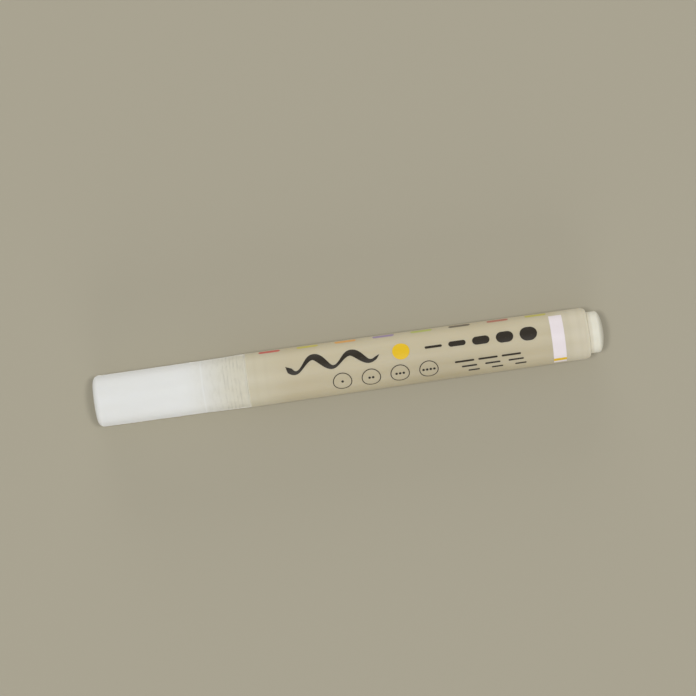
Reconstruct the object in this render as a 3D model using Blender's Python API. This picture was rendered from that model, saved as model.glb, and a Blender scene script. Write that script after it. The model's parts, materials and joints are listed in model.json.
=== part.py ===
"""Chalk paint marker: a tapered barrel of paint, a valve worked by its nib, a domed tail plug and a cap.

The marker lies along X, its cap towards -X and its printed side up, on a surface at Z = 0.
Stations along it are measured from the barrel's front face, towards the tail. Radii are built up
from the axis outwards, so a thicker piece pushes its neighbours out. All sizes are in metres.
"""

import math

import bmesh
import bpy
from mathutils import Matrix, Vector

for leftover in list(bpy.data.objects):
    bpy.data.objects.remove(leftover, do_unlink=True)

# Facets round the turned pieces, and along each rounded edge
SIDES = 32
SMALL_SIDES = 20
ROUND_STEPS = 4
DOME_STEPS = 7

# Clearances
FIT_GAP = 0.0003
SLIDE_GAP = 0.0003
CAP_GAP = 0.0003

# Valve cartridge
STEM_RADIUS = 0.0011
STEM_ROUND = 0.0003
STEM_HEAD_LENGTH = 0.0008
STEM_HEAD_RIM = 0.00015
STEM_PAST_RETAINER = 0.0006
STEM_FLUTE_WIDTH = 0.0006
STEM_FLUTE_DEPTH = 0.0004
GASKET_LENGTH = 0.0007
GASKET_RIM = 0.0001
GASKET_CHAMFER = 0.00015
SPRING_WIRE = 0.0005
SPRING_LENGTH = 0.0062
SPRING_TURNS = 5
SPRING_POINTS_PER_TURN = 10
SPRING_GUIDE_GAP = 0.00045
RETAINER_LENGTH = 0.0012
RETAINER_SLOT_WIDTH = 0.0007
RETAINER_RIM = 0.0004
HOUSING_FLOW_GAP = 0.0006
HOUSING_WALL = 0.0008
HOUSING_CHAMFER = 0.0004
HOUSING_LIP = 0.0005
HOUSING_LIP_LENGTH = 0.0005
HOUSING_FLANGE_LENGTH = 0.001
SEAT_WALL = 0.001
SEAT_GAP = 0.0004
SEAT_RIDGE_HEIGHT = 0.00025
SEAT_RIDGE_WIDTH = 0.0004

# Nib
NIB_RADIUS = 0.0025
NIB_SHOWS = 0.0075
NIB_BULLET = 0.0034
NIB_CHAMFER = 0.0004
NIB_TRAVEL = 0.0025
NIB_STOP_GAP = 0.00465

# Front section
SKIRT_WALL = 0.001
SKIRT_LENGTH = 0.011
SKIRT_LEAD = 0.0006
COLLAR_SEAT = 0.00055
COLLAR_LENGTH = 0.0117
COLLAR_CHAMFER = 0.0004
COLLAR_RIBS = 5
COLLAR_RIB_START = 0.0019
COLLAR_RIB_PITCH = 0.001
COLLAR_RIB_WIDTH = 0.0006
COLLAR_RIB_HEIGHT = 0.00025
LAND_WALL = 0.00205
LAND_LENGTH = 0.0045
CONE_LENGTH = 0.01
CONE_SHOULDER = 0.0003
TIP_WALL = 0.0007
TIP_ROUND = 0.0003
NIB_GUIDE_LENGTH = 0.011
NIB_GUIDE_LAND = 0.003
CHANNEL_WIDTH = 0.0008
CHANNEL_DEPTH = 0.0004
CHAMBER_STEP = 0.0005

# Sealing beads on the section's and the plug's skirts
SEAL_BEADS = 2
SEAL_START = 0.0025
SEAL_PITCH = 0.003
SEAL_WIDTH = 0.001
SEAL_HEIGHT = 0.0002

# Barrel
BARREL_LENGTH = 0.0951
BARREL_FRONT_WALL = 0.0021
BARREL_FRONT_ROUND = 0.0006
BARREL_TAIL_FLAT = 0.0009
BARREL_SHOULDER_LENGTH = 0.00125
BARREL_SHOULDER_DROP = 0.00085
BARREL_LEAD = 0.0002

# Tail plug
PLUG_SEAT = 0.00035
PLUG_STRAIGHT = 0.0022
PLUG_DOME = 0.0018
PLUG_DEPTH = 0.008
PLUG_WALL = 0.001
PLUG_END_WALL = 0.0018

# Cap and inner cap
CAP_WALL = 0.0009
CAP_END_WALL = 0.0012
CAP_DRAFT = 0.0001
CAP_FLARE_LENGTH = 0.013
CAP_CORNER = 0.0014
CAP_MOUTH_ROUND = 0.00025
CAP_INNER_ROUND = 0.0006
INNER_CAP_WALL = 0.0006
INNER_CAP_END_WALL = 0.0008
INNER_CAP_LIP = 0.00015
INNER_CAP_LIP_LENGTH = 0.0025
INNER_CAP_CORNER = 0.0012
NIB_HEADROOM = 0.0063

# Mixing ball
BALL_RADIUS = 0.0025
BALL_STATION = 0.034

# Points closer than this are one point
MERGE = 1e-6

# Radii of the valve, from the stem out to the barrel's bore
spring_radius = STEM_RADIUS + SPRING_GUIDE_GAP + SPRING_WIRE / 2
stem_head_radius = spring_radius + SPRING_WIRE / 2 + STEM_HEAD_RIM
housing_bore = stem_head_radius + HOUSING_FLOW_GAP
housing_radius = housing_bore + HOUSING_WALL
retainer_radius = housing_bore - FIT_GAP
seat_radius = STEM_RADIUS + SEAT_GAP
cavity_radius = housing_radius + FIT_GAP
skirt_radius = cavity_radius + SKIRT_WALL
barrel_bore = skirt_radius + SEAL_HEIGHT + FIT_GAP

# Radii of the barrel and its plug
barrel_front_radius = barrel_bore + BARREL_FRONT_WALL
barrel_face_radius = barrel_bore + BARREL_TAIL_FLAT
barrel_tail_radius = barrel_face_radius + BARREL_SHOULDER_DROP
plug_head_radius = barrel_bore + PLUG_SEAT
plug_skirt_radius = barrel_bore - FIT_GAP - SEAL_HEIGHT

# Radii of the section and the caps, from the nib outwards
nib_bore = NIB_RADIUS + SLIDE_GAP
chamber_radius = nib_bore + CHAMBER_STEP
tip_radius = nib_bore + TIP_WALL
land_radius = nib_bore + LAND_WALL
collar_radius = barrel_bore + COLLAR_SEAT
inner_cap_lip_radius = land_radius + FIT_GAP
inner_cap_bore = inner_cap_lip_radius + INNER_CAP_LIP
inner_cap_radius = inner_cap_bore + INNER_CAP_WALL
cap_bore = inner_cap_radius + FIT_GAP
cap_end_radius = cap_bore + CAP_WALL
cap_mouth_bore = collar_radius + COLLAR_RIB_HEIGHT + FIT_GAP
cap_mouth_radius = cap_mouth_bore + CAP_WALL

# Stations of the valve, from the section's rear end forwards
flange_front = SKIRT_LENGTH + FIT_GAP
flange_rear = flange_front + HOUSING_FLANGE_LENGTH
retainer_rear = flange_rear - HOUSING_LIP_LENGTH - FIT_GAP
retainer_front = retainer_rear - RETAINER_LENGTH
spring_rear = retainer_front - FIT_GAP
spring_front = spring_rear - SPRING_LENGTH
head_rear = spring_front - FIT_GAP
head_front = head_rear - STEM_HEAD_LENGTH
gasket_rear = head_front - FIT_GAP
gasket_front = gasket_rear - GASKET_LENGTH
ridge_rear = gasket_front - FIT_GAP
seat_rear = ridge_rear - SEAT_RIDGE_HEIGHT
housing_front = seat_rear - SEAT_WALL
cavity_front = housing_front - FIT_GAP

# Stations of the section, the nib and the caps
collar_rear = -FIT_GAP
collar_front = collar_rear - COLLAR_LENGTH
land_front = collar_front - LAND_LENGTH
section_tip = land_front - CONE_LENGTH
nib_tip = section_tip - NIB_SHOWS
nib_rear = housing_front - NIB_TRAVEL - NIB_STOP_GAP
inner_cap_rim = collar_front - FIT_GAP
inner_cap_floor = nib_tip - NIB_HEADROOM
inner_cap_end = inner_cap_floor - INNER_CAP_END_WALL
cap_floor = inner_cap_end - FIT_GAP
cap_end = cap_floor - CAP_END_WALL
cap_mouth = -CAP_GAP

# Stations of the plug, and where the whole marker lies
plug_seat = BARREL_LENGTH + FIT_GAP
plug_end = plug_seat + PLUG_STRAIGHT + PLUG_DOME
plug_rim = BARREL_LENGTH - PLUG_DEPTH
front_x = -(cap_end + plug_end) / 2
flat_share = math.cos(math.pi / SIDES)
axis_z = max(barrel_front_radius, cap_mouth_radius) * flat_share
ball_drop = barrel_bore * flat_share - FIT_GAP - BALL_RADIUS


def linear(level):
    """A display colour level from 0 to 255 as linear light."""
    share = level / 255
    return share / 12.92 if share <= 0.04045 else ((share + 0.055) / 1.055) ** 2.4


def finish(name, colour, roughness, metallic=0.0, transmission=0.0):
    """A plain shader in a display colour, named for its piece."""
    material = bpy.data.materials.new(name)
    material.use_nodes = True
    shader = material.node_tree.nodes["Principled BSDF"].inputs
    shader["Base Color"].default_value = (*map(linear, colour), 1.0)
    shader["Roughness"].default_value = roughness
    shader["Metallic"].default_value = metallic
    shader["Transmission Weight"].default_value = transmission
    material.diffuse_color = shader["Base Color"].default_value
    return material


def arc(centre, reach, begin, end, steps=ROUND_STEPS):
    """Points on an ellipse about centre, with half-axes reach. Angle 0 is towards the tail, 90 outwards."""
    angles = [math.radians(begin + (end - begin) * step / steps) for step in range(steps + 1)]
    return [(centre[0] + reach[0] * math.cos(a), centre[1] + reach[1] * math.sin(a)) for a in angles]


def rings(first, pitch, count, width, base, height):
    """The outline of a row of raised rings, each with sloping sides, from the first one forwards."""
    points = []
    for number in range(count):
        middle = first - number * pitch
        points += [(middle + width / 2, base), (middle + width / 6, base + height)]
        points += [(middle - width / 6, base + height), (middle - width / 2, base)]
    return points


def axis_empty(name, location):
    """An empty on the axis that its pieces slide along."""
    empty = bpy.data.objects.new(name, None)
    empty.location = location
    empty.empty_display_size = barrel_bore
    bpy.context.scene.collection.objects.link(empty)
    return empty


def placed(name, data, material, parent):
    """An object with this material, at its parent's origin."""
    piece = bpy.data.objects.new(name, data)
    piece.data.materials.append(material)
    piece.parent = parent
    bpy.context.scene.collection.objects.link(piece)
    return piece


def turned(name, outline, sides, material, parent):
    """A piece turned about X, with a flat facet below, from its outline as (station, radius) points.

    An outline that starts and ends on the axis is left open there, and any other is a closed loop.
    """
    shape = bmesh.new()
    half_facet = Matrix.Rotation(math.pi / sides, 3, "X")
    corners = [shape.verts.new(half_facet @ Vector((x, 0, -radius))) for x, radius in outline]
    pairs = list(zip(corners, corners[1:]))
    if outline[0][1] > 0:
        pairs.append((corners[-1], corners[0]))
    edges = [shape.edges.new(pair) for pair in pairs]
    bmesh.ops.spin(
        shape,
        geom=corners + edges,
        axis=(1, 0, 0),
        angle=2 * math.pi,
        steps=sides,
        use_merge=True,
    )
    bmesh.ops.remove_doubles(shape, verts=shape.verts, dist=MERGE)
    bmesh.ops.recalc_face_normals(shape, faces=shape.faces)
    mesh = bpy.data.meshes.new(name)
    shape.to_mesh(mesh)
    shape.free()
    mesh.shade_smooth()
    mesh.set_sharp_from_angle(angle=math.radians(35))
    return placed(name, mesh, material, parent)


def cut_round(piece, size, middle, count):
    """Cuts a piece with count boxes, each a quarter turn round the axis from the last one."""
    for number in range(count):
        shape = bmesh.new()
        bmesh.ops.create_cube(shape, size=1, matrix=Matrix.Translation(middle) @ Matrix.Diagonal((*size, 1)))
        mesh = bpy.data.meshes.new(f"{piece.name}_cut")
        shape.to_mesh(mesh)
        shape.free()
        box = bpy.data.objects.new(f"{piece.name}_cut_{number}", mesh)
        box.parent = piece.parent
        box.rotation_euler = (number * math.pi / 2, 0, 0)
        box.hide_render = True
        box.display_type = "WIRE"
        bpy.context.scene.collection.objects.link(box)
        cut = piece.modifiers.new("cut", "BOOLEAN")
        cut.operation = "DIFFERENCE"
        cut.solver = "EXACT"
        cut.object = box
    return piece


def barrel_tube(parent):
    """The tapered tube: rounded at the front, drawn in at the tail, with a straight bore."""
    shoulder = BARREL_LENGTH - BARREL_SHOULDER_LENGTH
    front_centre = (BARREL_FRONT_ROUND, barrel_front_radius - BARREL_FRONT_ROUND)
    outline = [(BARREL_LEAD, barrel_bore), (0, barrel_bore + BARREL_LEAD)]
    outline += arc(front_centre, (BARREL_FRONT_ROUND, BARREL_FRONT_ROUND), 180, 90)
    outline += arc(
        (shoulder, barrel_face_radius), (BARREL_SHOULDER_LENGTH, BARREL_SHOULDER_DROP), 90, 0, DOME_STEPS
    )
    outline += [(BARREL_LENGTH, barrel_bore + BARREL_LEAD), (BARREL_LENGTH - BARREL_LEAD, barrel_bore)]
    return turned("barrel_tube", outline, SIDES, finish("barrel_tube", (189, 178, 148), 0.3), parent)


def tail_plug(parent):
    """The plug: a domed head on the barrel's tail face, and a hollow skirt with sealing beads in its bore."""
    hollow = plug_skirt_radius - PLUG_WALL
    hollow_end = plug_end - PLUG_END_WALL
    dome_foot = plug_seat + PLUG_STRAIGHT
    outline = arc((dome_foot, 0), (PLUG_DOME, plug_head_radius), 0, 90, DOME_STEPS)
    outline += [(plug_seat, plug_head_radius), (plug_seat, plug_skirt_radius)]
    outline += rings(
        BARREL_LENGTH - SEAL_START, SEAL_PITCH, SEAL_BEADS, SEAL_WIDTH, plug_skirt_radius, SEAL_HEIGHT
    )
    outline += [(plug_rim + SKIRT_LEAD, plug_skirt_radius), (plug_rim, plug_skirt_radius - PLUG_WALL / 2)]
    outline += [(plug_rim, hollow), (hollow_end - PLUG_WALL, hollow)]
    outline += [(hollow_end, hollow - PLUG_WALL), (hollow_end, 0)]
    outline[0] = (plug_end, 0)
    return turned("tail_plug", outline, SIDES, finish("tail_plug", (218, 215, 200), 0.4), parent)


def front_section(parent):
    """The section: skirt in the barrel, ribbed collar on its face, seal land, cone and the nib's guide.

    Four channels along the guide carry paint beside the nib, and end in a plain land behind the tip.
    """
    tip_centre = (section_tip + TIP_ROUND, tip_radius - TIP_ROUND)
    chamber_front = section_tip + NIB_GUIDE_LENGTH
    outline = [(SKIRT_LENGTH, cavity_radius), (SKIRT_LENGTH, skirt_radius - SKIRT_WALL / 2)]
    outline += [(SKIRT_LENGTH - SKIRT_LEAD, skirt_radius)]
    rear_bead = SEAL_START + (SEAL_BEADS - 1) * SEAL_PITCH
    outline += rings(rear_bead, SEAL_PITCH, SEAL_BEADS, SEAL_WIDTH, skirt_radius, SEAL_HEIGHT)
    outline += [(collar_rear, skirt_radius), (collar_rear, collar_radius)]
    outline += rings(
        collar_rear - COLLAR_RIB_START,
        COLLAR_RIB_PITCH,
        COLLAR_RIBS,
        COLLAR_RIB_WIDTH,
        collar_radius,
        COLLAR_RIB_HEIGHT,
    )
    outline += [(collar_front + COLLAR_CHAMFER, collar_radius)]
    outline += [(collar_front, collar_radius - COLLAR_CHAMFER), (collar_front, land_radius)]
    outline += [(land_front + CONE_SHOULDER, land_radius)]
    outline += [(land_front, land_radius - CONE_SHOULDER)]
    outline += arc(tip_centre, (TIP_ROUND, TIP_ROUND), 90, 180)
    outline += [(section_tip, nib_bore), (chamber_front, nib_bore)]
    outline += [(chamber_front + CHAMBER_STEP, chamber_radius), (cavity_front, chamber_radius)]
    outline += [(cavity_front, cavity_radius)]
    section = turned("front_section", outline, SIDES, finish("front_section", (226, 224, 214), 0.4), parent)
    first = section_tip + NIB_GUIDE_LAND
    last = chamber_front + CHAMBER_STEP
    floor = nib_bore + CHANNEL_DEPTH
    return cut_round(section, (last - first, CHANNEL_WIDTH, floor), ((first + last) / 2, 0, floor / 2), 4)


def valve_housing(parent):
    """The valve's cup: a ridged seat in front, a flange on the section's rear end, and a lip inside it."""
    lip_front = flange_rear - HOUSING_LIP_LENGTH
    lip_radius = retainer_radius - HOUSING_LIP
    ridge_radius = seat_radius + SEAT_RIDGE_WIDTH
    outline = [(housing_front, seat_radius), (housing_front, housing_radius - HOUSING_CHAMFER)]
    outline += [(housing_front + HOUSING_CHAMFER, housing_radius), (flange_front, housing_radius)]
    outline += [(flange_front, skirt_radius), (flange_rear, skirt_radius), (flange_rear, lip_radius)]
    outline += [(lip_front, lip_radius), (lip_front, housing_bore), (seat_rear, housing_bore)]
    outline += [(seat_rear, ridge_radius), (ridge_rear, ridge_radius), (ridge_rear, seat_radius)]
    return turned("valve_housing", outline, SIDES, finish("valve_housing", (232, 231, 225), 0.4), parent)


def spring_retainer(parent):
    """The disc behind the spring: a guide hole for the stem, crossed by two slots that let paint past."""
    guide_radius = STEM_RADIUS + SLIDE_GAP
    outline = [(retainer_front, guide_radius), (retainer_front, retainer_radius)]
    outline += [(retainer_rear, retainer_radius), (retainer_rear, guide_radius)]
    material = finish("spring_retainer", (232, 231, 225), 0.4)
    disc = turned("spring_retainer", outline, SMALL_SIDES, material, parent)
    slot = (2 * RETAINER_LENGTH, RETAINER_SLOT_WIDTH, 2 * (retainer_radius - RETAINER_RIM))
    return cut_round(disc, slot, ((retainer_front + retainer_rear) / 2, 0, 0), 2)


def valve_spring(parent):
    """One coil of round wire between the stem's head and the retainer."""
    first = spring_front + SPRING_WIRE / 2
    last = spring_rear - SPRING_WIRE / 2
    count = SPRING_TURNS * SPRING_POINTS_PER_TURN
    points = []
    for number in range(count + 1):
        angle = 2 * math.pi * number / SPRING_POINTS_PER_TURN
        station = first + (last - first) * number / count
        points.append(Vector((station, spring_radius * math.sin(angle), spring_radius * math.cos(angle))))
    curve = bpy.data.curves.new("valve_spring", "CURVE")
    curve.dimensions = "3D"
    curve.bevel_depth = SPRING_WIRE / 2
    curve.bevel_resolution = 1
    curve.use_fill_caps = True
    spline = curve.splines.new("POLY")
    spline.points.add(count)
    for point, place in zip(spline.points, points):
        point.co = (*place, 1)
    half_turn = SPRING_POINTS_PER_TURN // 2
    nearest = min(
        (other - place).length
        for number, place in enumerate(points)
        for other in points[number + half_turn :]
    )
    print(f"valve spring: least gap between its turns {1000 * (nearest - SPRING_WIRE):.2f} mm")
    return placed("valve_spring", curve, finish("valve_spring", (190, 190, 188), 0.3, metallic=1.0), parent)


def valve_stem(parent):
    """The stem: a pin behind the nib, a head that closes the valve, and a rod guided in the retainer.

    Four flutes along the pin let paint through the seat, and end at the seat's ridge, ahead of the gasket.
    """
    pin_front = nib_rear + FIT_GAP
    rod_end = retainer_rear + STEM_PAST_RETAINER
    outline = [(pin_front, 0), (pin_front, STEM_RADIUS - STEM_ROUND), (pin_front + STEM_ROUND, STEM_RADIUS)]
    outline += [(head_front, STEM_RADIUS), (head_front, stem_head_radius)]
    outline += [(head_rear, stem_head_radius), (head_rear, STEM_RADIUS)]
    outline += [(rod_end - STEM_ROUND, STEM_RADIUS), (rod_end, STEM_RADIUS - STEM_ROUND), (rod_end, 0)]
    stem = turned("valve_stem", outline, SMALL_SIDES, finish("valve_stem", (240, 239, 234), 0.35), parent)
    first = pin_front - STEM_ROUND
    floor = STEM_RADIUS - STEM_FLUTE_DEPTH
    flute = (ridge_rear - first, STEM_FLUTE_WIDTH, 2 * STEM_FLUTE_DEPTH)
    return cut_round(stem, flute, ((first + ridge_rear) / 2, 0, floor + STEM_FLUTE_DEPTH), 4)


def valve_gasket(parent):
    """The soft ring on the front of the stem's head."""
    bore = STEM_RADIUS + FIT_GAP
    rim = stem_head_radius - GASKET_RIM
    outline = [(gasket_front, bore), (gasket_front, rim - GASKET_CHAMFER)]
    outline += [(gasket_front + GASKET_CHAMFER, rim), (gasket_rear - GASKET_CHAMFER, rim)]
    outline += [(gasket_rear, rim - GASKET_CHAMFER), (gasket_rear, bore)]
    return turned("valve_gasket", outline, SMALL_SIDES, finish("valve_gasket", (52, 52, 50), 0.7), parent)


def nib(parent):
    """The fibre nib: a rod with a bullet point."""
    outline = [(nib_rear, 0), (nib_rear, NIB_RADIUS - NIB_CHAMFER), (nib_rear - NIB_CHAMFER, NIB_RADIUS)]
    outline += arc((nib_tip + NIB_BULLET, 0), (NIB_BULLET, NIB_RADIUS), 90, 180, DOME_STEPS)
    outline[-1] = (nib_tip, 0)
    return turned("nib", outline, SMALL_SIDES, finish("nib", (236, 230, 214), 0.9), parent)


def cap_shell(parent):
    """The cap: a flat closed end with rounded corners, and a mouth that flares over the collar's ribs."""
    corner = (cap_end + CAP_CORNER, cap_end_radius - CAP_CORNER)
    mouth_edge = (cap_mouth - CAP_MOUTH_ROUND, cap_mouth_radius - CAP_MOUTH_ROUND)
    floor_corner = (cap_floor + CAP_INNER_ROUND, cap_bore - CAP_INNER_ROUND)
    outline = [(cap_end, 0)]
    outline += arc(corner, (CAP_CORNER, CAP_CORNER), 180, 90)
    outline += [(cap_mouth - CAP_FLARE_LENGTH, cap_end_radius + CAP_DRAFT)]
    outline += arc(mouth_edge, (CAP_MOUTH_ROUND, CAP_MOUTH_ROUND), 90, 0, 2)
    outline += [(cap_mouth, cap_mouth_bore + CAP_MOUTH_ROUND), (cap_mouth - CAP_MOUTH_ROUND, cap_mouth_bore)]
    outline += [(inner_cap_rim, cap_mouth_bore), (inner_cap_rim - CAP_INNER_ROUND, cap_bore)]
    outline += arc(floor_corner, (CAP_INNER_ROUND, CAP_INNER_ROUND), 90, 180)
    outline += [(cap_floor, 0)]
    material = finish("cap_shell", (221, 221, 216), 0.45, transmission=0.3)
    return turned("cap_shell", outline, SIDES, material, parent)


def inner_cap(parent):
    """The inner cap: a thin cup whose lip closes on the section's land and keeps the nib wet."""
    lip_end = inner_cap_rim - INNER_CAP_LIP_LENGTH
    corner = (inner_cap_end + INNER_CAP_CORNER, inner_cap_radius - INNER_CAP_CORNER)
    floor_corner = (inner_cap_floor + INNER_CAP_CORNER, inner_cap_bore - INNER_CAP_CORNER)
    outline = [(inner_cap_end, 0)]
    outline += arc(corner, (INNER_CAP_CORNER, INNER_CAP_CORNER), 180, 90)
    outline += [(inner_cap_rim, inner_cap_radius), (inner_cap_rim, inner_cap_bore)]
    outline += [(inner_cap_rim - INNER_CAP_LIP, inner_cap_lip_radius), (lip_end, inner_cap_lip_radius)]
    outline += [(lip_end - INNER_CAP_LIP, inner_cap_bore)]
    outline += arc(floor_corner, (INNER_CAP_CORNER, INNER_CAP_CORNER), 90, 180)
    outline += [(inner_cap_floor, 0)]
    return turned("inner_cap", outline, SIDES, finish("inner_cap", (236, 237, 235), 0.4), parent)


def mixing_ball(parent):
    """The steel ball that stirs the paint, lying on the bore."""
    outline = arc((0, 0), (BALL_RADIUS, BALL_RADIUS), 0, 180, SMALL_SIDES // 2)
    outline[0] = (BALL_RADIUS, 0)
    outline[-1] = (-BALL_RADIUS, 0)
    material = finish("mixing_ball", (200, 200, 202), 0.2, metallic=1.0)
    return turned("mixing_ball", outline, SMALL_SIDES, material, parent)


barrel_axis = axis_empty("barrel_axis", (front_x, 0, axis_z))
nib_slide = axis_empty("nib_slide", (front_x, 0, axis_z))
cap_slide = axis_empty("cap_slide", (front_x, 0, axis_z))
ball_track = axis_empty("ball_track", (front_x + BALL_STATION, 0, axis_z - ball_drop))

for make in (barrel_tube, tail_plug, front_section, valve_housing, spring_retainer, valve_spring):
    make(barrel_axis)
for make in (nib, valve_stem, valve_gasket):
    make(nib_slide)
for make in (cap_shell, inner_cap):
    make(cap_slide)
mixing_ball(ball_track)

rod_reach = retainer_rear + STEM_PAST_RETAINER + NIB_TRAVEL
ball_first = rod_reach + BALL_RADIUS + FIT_GAP - BALL_STATION
ball_last = plug_rim - BALL_RADIUS - FIT_GAP - BALL_STATION
print(f"marker: {1000 * (plug_end - cap_end):.1f} mm long, barrel {2000 * barrel_front_radius:.1f} mm across")
print(f"barrel front face at X = {1000 * front_x:.2f} mm, axis at Z = {1000 * axis_z:.3f} mm")
print(f"nib travel {1000 * NIB_TRAVEL:.1f} mm")
print(f"ball from {1000 * ball_first:.1f} to {1000 * ball_last:.1f} mm")
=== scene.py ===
# %% [markdown]
# A chalk paint marker, dressed on its frame.
# The marker is a translucent tube of thick cream paint. A fibre nib is pushed in to open a small valve, and
# a frosted cap with a thin inner cap keeps the nib wet. Nearly every piece is turned about one long axis,
# so the lesson is about outlines: measure them on the frame, refine them, turn them, and then finish each
# plastic with care. The frame comes first, because it fixes every size and nothing here may move it.

# %% Load the frame
import json
import math

import bpy
import numpy as np
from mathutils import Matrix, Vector


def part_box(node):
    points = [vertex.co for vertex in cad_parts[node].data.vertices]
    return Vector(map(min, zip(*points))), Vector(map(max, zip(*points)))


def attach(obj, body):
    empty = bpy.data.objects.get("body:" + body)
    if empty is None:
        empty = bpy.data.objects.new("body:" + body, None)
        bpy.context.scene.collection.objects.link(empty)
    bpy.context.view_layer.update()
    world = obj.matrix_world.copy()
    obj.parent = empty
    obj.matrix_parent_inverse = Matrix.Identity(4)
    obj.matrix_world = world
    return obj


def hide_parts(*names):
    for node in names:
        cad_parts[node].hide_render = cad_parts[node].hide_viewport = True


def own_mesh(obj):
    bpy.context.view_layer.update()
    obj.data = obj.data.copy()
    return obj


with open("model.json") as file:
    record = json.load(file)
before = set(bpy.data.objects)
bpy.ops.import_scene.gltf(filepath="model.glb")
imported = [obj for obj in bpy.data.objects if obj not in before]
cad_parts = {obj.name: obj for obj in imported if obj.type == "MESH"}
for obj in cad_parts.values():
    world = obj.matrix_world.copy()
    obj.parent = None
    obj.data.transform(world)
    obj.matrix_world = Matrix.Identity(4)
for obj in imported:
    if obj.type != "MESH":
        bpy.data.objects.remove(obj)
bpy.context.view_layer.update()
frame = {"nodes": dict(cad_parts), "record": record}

# %% [markdown]
# Sizes from the frame.
# Nearly every solid is turned, so its shape is in two numbers for each corner: the place along the axis and
# the distance from it. The sizes could be typed in again, but reading them off the solids keeps this script
# free of a second set that could drift away from the first.

# %% Measure the solids about their axis
MM = 0.001
TOUCH = 0.01 * MM

lowest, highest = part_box("barrel_tube")
axis_z = (lowest.z + highest.z) / 2


def corners(node):
    """Every corner of a solid as (place along X, distance from the marker's axis), as two arrays."""
    mesh = frame["nodes"][node].data
    flat = np.empty(3 * len(mesh.vertices), np.float32)
    mesh.vertices.foreach_get("co", flat)
    x, y, z = flat.reshape(-1, 3).T.astype(float)
    return x, np.hypot(y, z - axis_z)


def ends(node):
    """The first and the last place of a solid along X."""
    x, _ = corners(node)
    return x.min(), x.max()


def radii(node, low, high):
    """The distances from the axis of a solid's corners between two places along X."""
    x, radius = corners(node)
    return radius[(x > low - TOUCH) & (x < high + TOUCH)]


def rim(node, low, high):
    """The largest radius of a solid between two places along X."""
    return radii(node, low, high).max()


def hole(node, low, high):
    """The smallest radius of a solid between two places along X, which is its bore there."""
    return radii(node, low, high).min()


front_x, tail_x = ends("barrel_tube")
barrel_radius = rim("barrel_tube", front_x, tail_x)
print(f"barrel from {front_x / MM:.1f} to {tail_x / MM:.1f} mm, radius {barrel_radius / MM:.2f} mm")

# %% [markdown]
# Faces of a grid.
# Every surface here is a grid of points. Each face joins four neighbours, apart from the fans of triangles
# that close a pole. A loop over the points could list the faces, but whole arrays of corner numbers are
# quicker and easier to check. Which way the faces look is settled by the sign of the volume that they
# enclose, so no shape has to care about it.

# %% Faces of a grid


def quads(rows, columns, wrap_rows=False, wrap_columns=False):
    """Corner numbers of the faces of a grid of points, closed round where it wraps."""
    i, j = np.meshgrid(
        np.arange(rows if wrap_rows else rows - 1),
        np.arange(columns if wrap_columns else columns - 1),
        indexing="ij",
    )
    below, right = (i + 1) % rows, (j + 1) % columns
    loop = [i * columns + j, below * columns + j, below * columns + right, i * columns + right]
    return np.stack(loop, -1).reshape(-1, 4)


def fan(pole, ring):
    """Triangles that join one point to each side of a closed ring of points."""
    return np.column_stack([np.full_like(ring, pole), ring, np.roll(ring, -1)])


def fans(first_pole, first_ring, last_pole, last_ring):
    """The two fans that close a tube of rings, turned opposite ways so that both agree with its wall."""
    return [fan(first_pole, first_ring), fan(last_pole, last_ring)[:, [0, 2, 1]]]


def outward(points, faces):
    """The faces, turned about if they enclose a negative volume: the sum of a . (b x c) over triangles."""
    volume = 0.0
    for face in faces:
        for k in range(1, face.shape[1] - 1):
            a, b, c = points[face[:, 0]], points[face[:, k]], points[face[:, k + 1]]
            volume += np.einsum("ij,ij->", a, np.cross(b, c))
    return [face[:, ::-1] for face in faces] if volume < 0 else faces


print("a ring of 4 by 6 points, closed both ways, has", len(quads(4, 6, True, True)), "faces")

# %% [markdown]
# Turned outlines.
# The moulds of a marker are cut on a lathe, so its pieces are turned forms. Their grid has the outline's
# points one way and equal turns about the axis the other way. Blender's Screw modifier would do it too, but
# with arrays the radius may also change with the turn, which carves grooves without any cutting. An outline
# that meets the axis ends in a single point there, so that the skin is closed.

# %% Turned outlines
AROUND = 160
EDGE_ROUND = 0.15 * MM


def arc(centre, reach, begin, end, count=13):
    """Points on an ellipse about centre: centre + reach times (cosine, sine) of an even run of angles."""
    turn = np.radians(np.linspace(begin, end, count))
    return np.array(centre) + np.array(reach) * np.column_stack([np.cos(turn), np.sin(turn)])


def rounded(x, radius, begin, end, reach=EDGE_ROUND, count=5):
    """A round on a corner at (x, radius): an arc whose centre is set back by reach from both faces."""
    middle = np.radians((begin + end) / 2)
    back = reach * np.sign(np.array([np.cos(middle), np.sin(middle)]))
    return arc((x, radius) - back, (reach, reach), begin, end, count)


def outline(*stretches):
    """Single points and runs of points, joined into one array of (x, radius)."""
    return np.vstack([np.reshape(stretch, (-1, 2)) for stretch in stretches])


def about_axis(x, radius, turn):
    """Points (x, r sin t, axis + r cos t) at a distance r from the axis, turned by t from the top line."""
    return np.stack(np.broadcast_arrays(x, radius * np.sin(turn), axis_z + radius * np.cos(turn)), -1)


def turned(path, around=AROUND, carve=None):
    """A point about the axis for every outline point and every turn, and the faces between them.

    Where the outline starts and ends on the axis, its ends are single points and fans close them. A function
    of (x, r, t) may carve the turned form by giving other radii.
    """
    turn = np.linspace(0, 2 * np.pi, around, endpoint=False)
    x, radius = path[:, :1], path[:, 1:]
    grid = about_axis(x, carve(x, radius, turn) if carve else radius, turn)
    if path[0, 1] > 0:
        points = grid.reshape(-1, 3)
        return points, outward(points, [quads(len(path), around, True, True)])
    points = np.vstack([grid[0, :1], grid[1:-1].reshape(-1, 3), grid[-1, :1]])
    first = 1 + np.arange(around)
    last = first + (len(path) - 3) * around
    wall = 1 + quads(len(path) - 2, around, False, True)
    return points, outward(points, [wall, *fans(0, first, len(points) - 1, last)])


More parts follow.
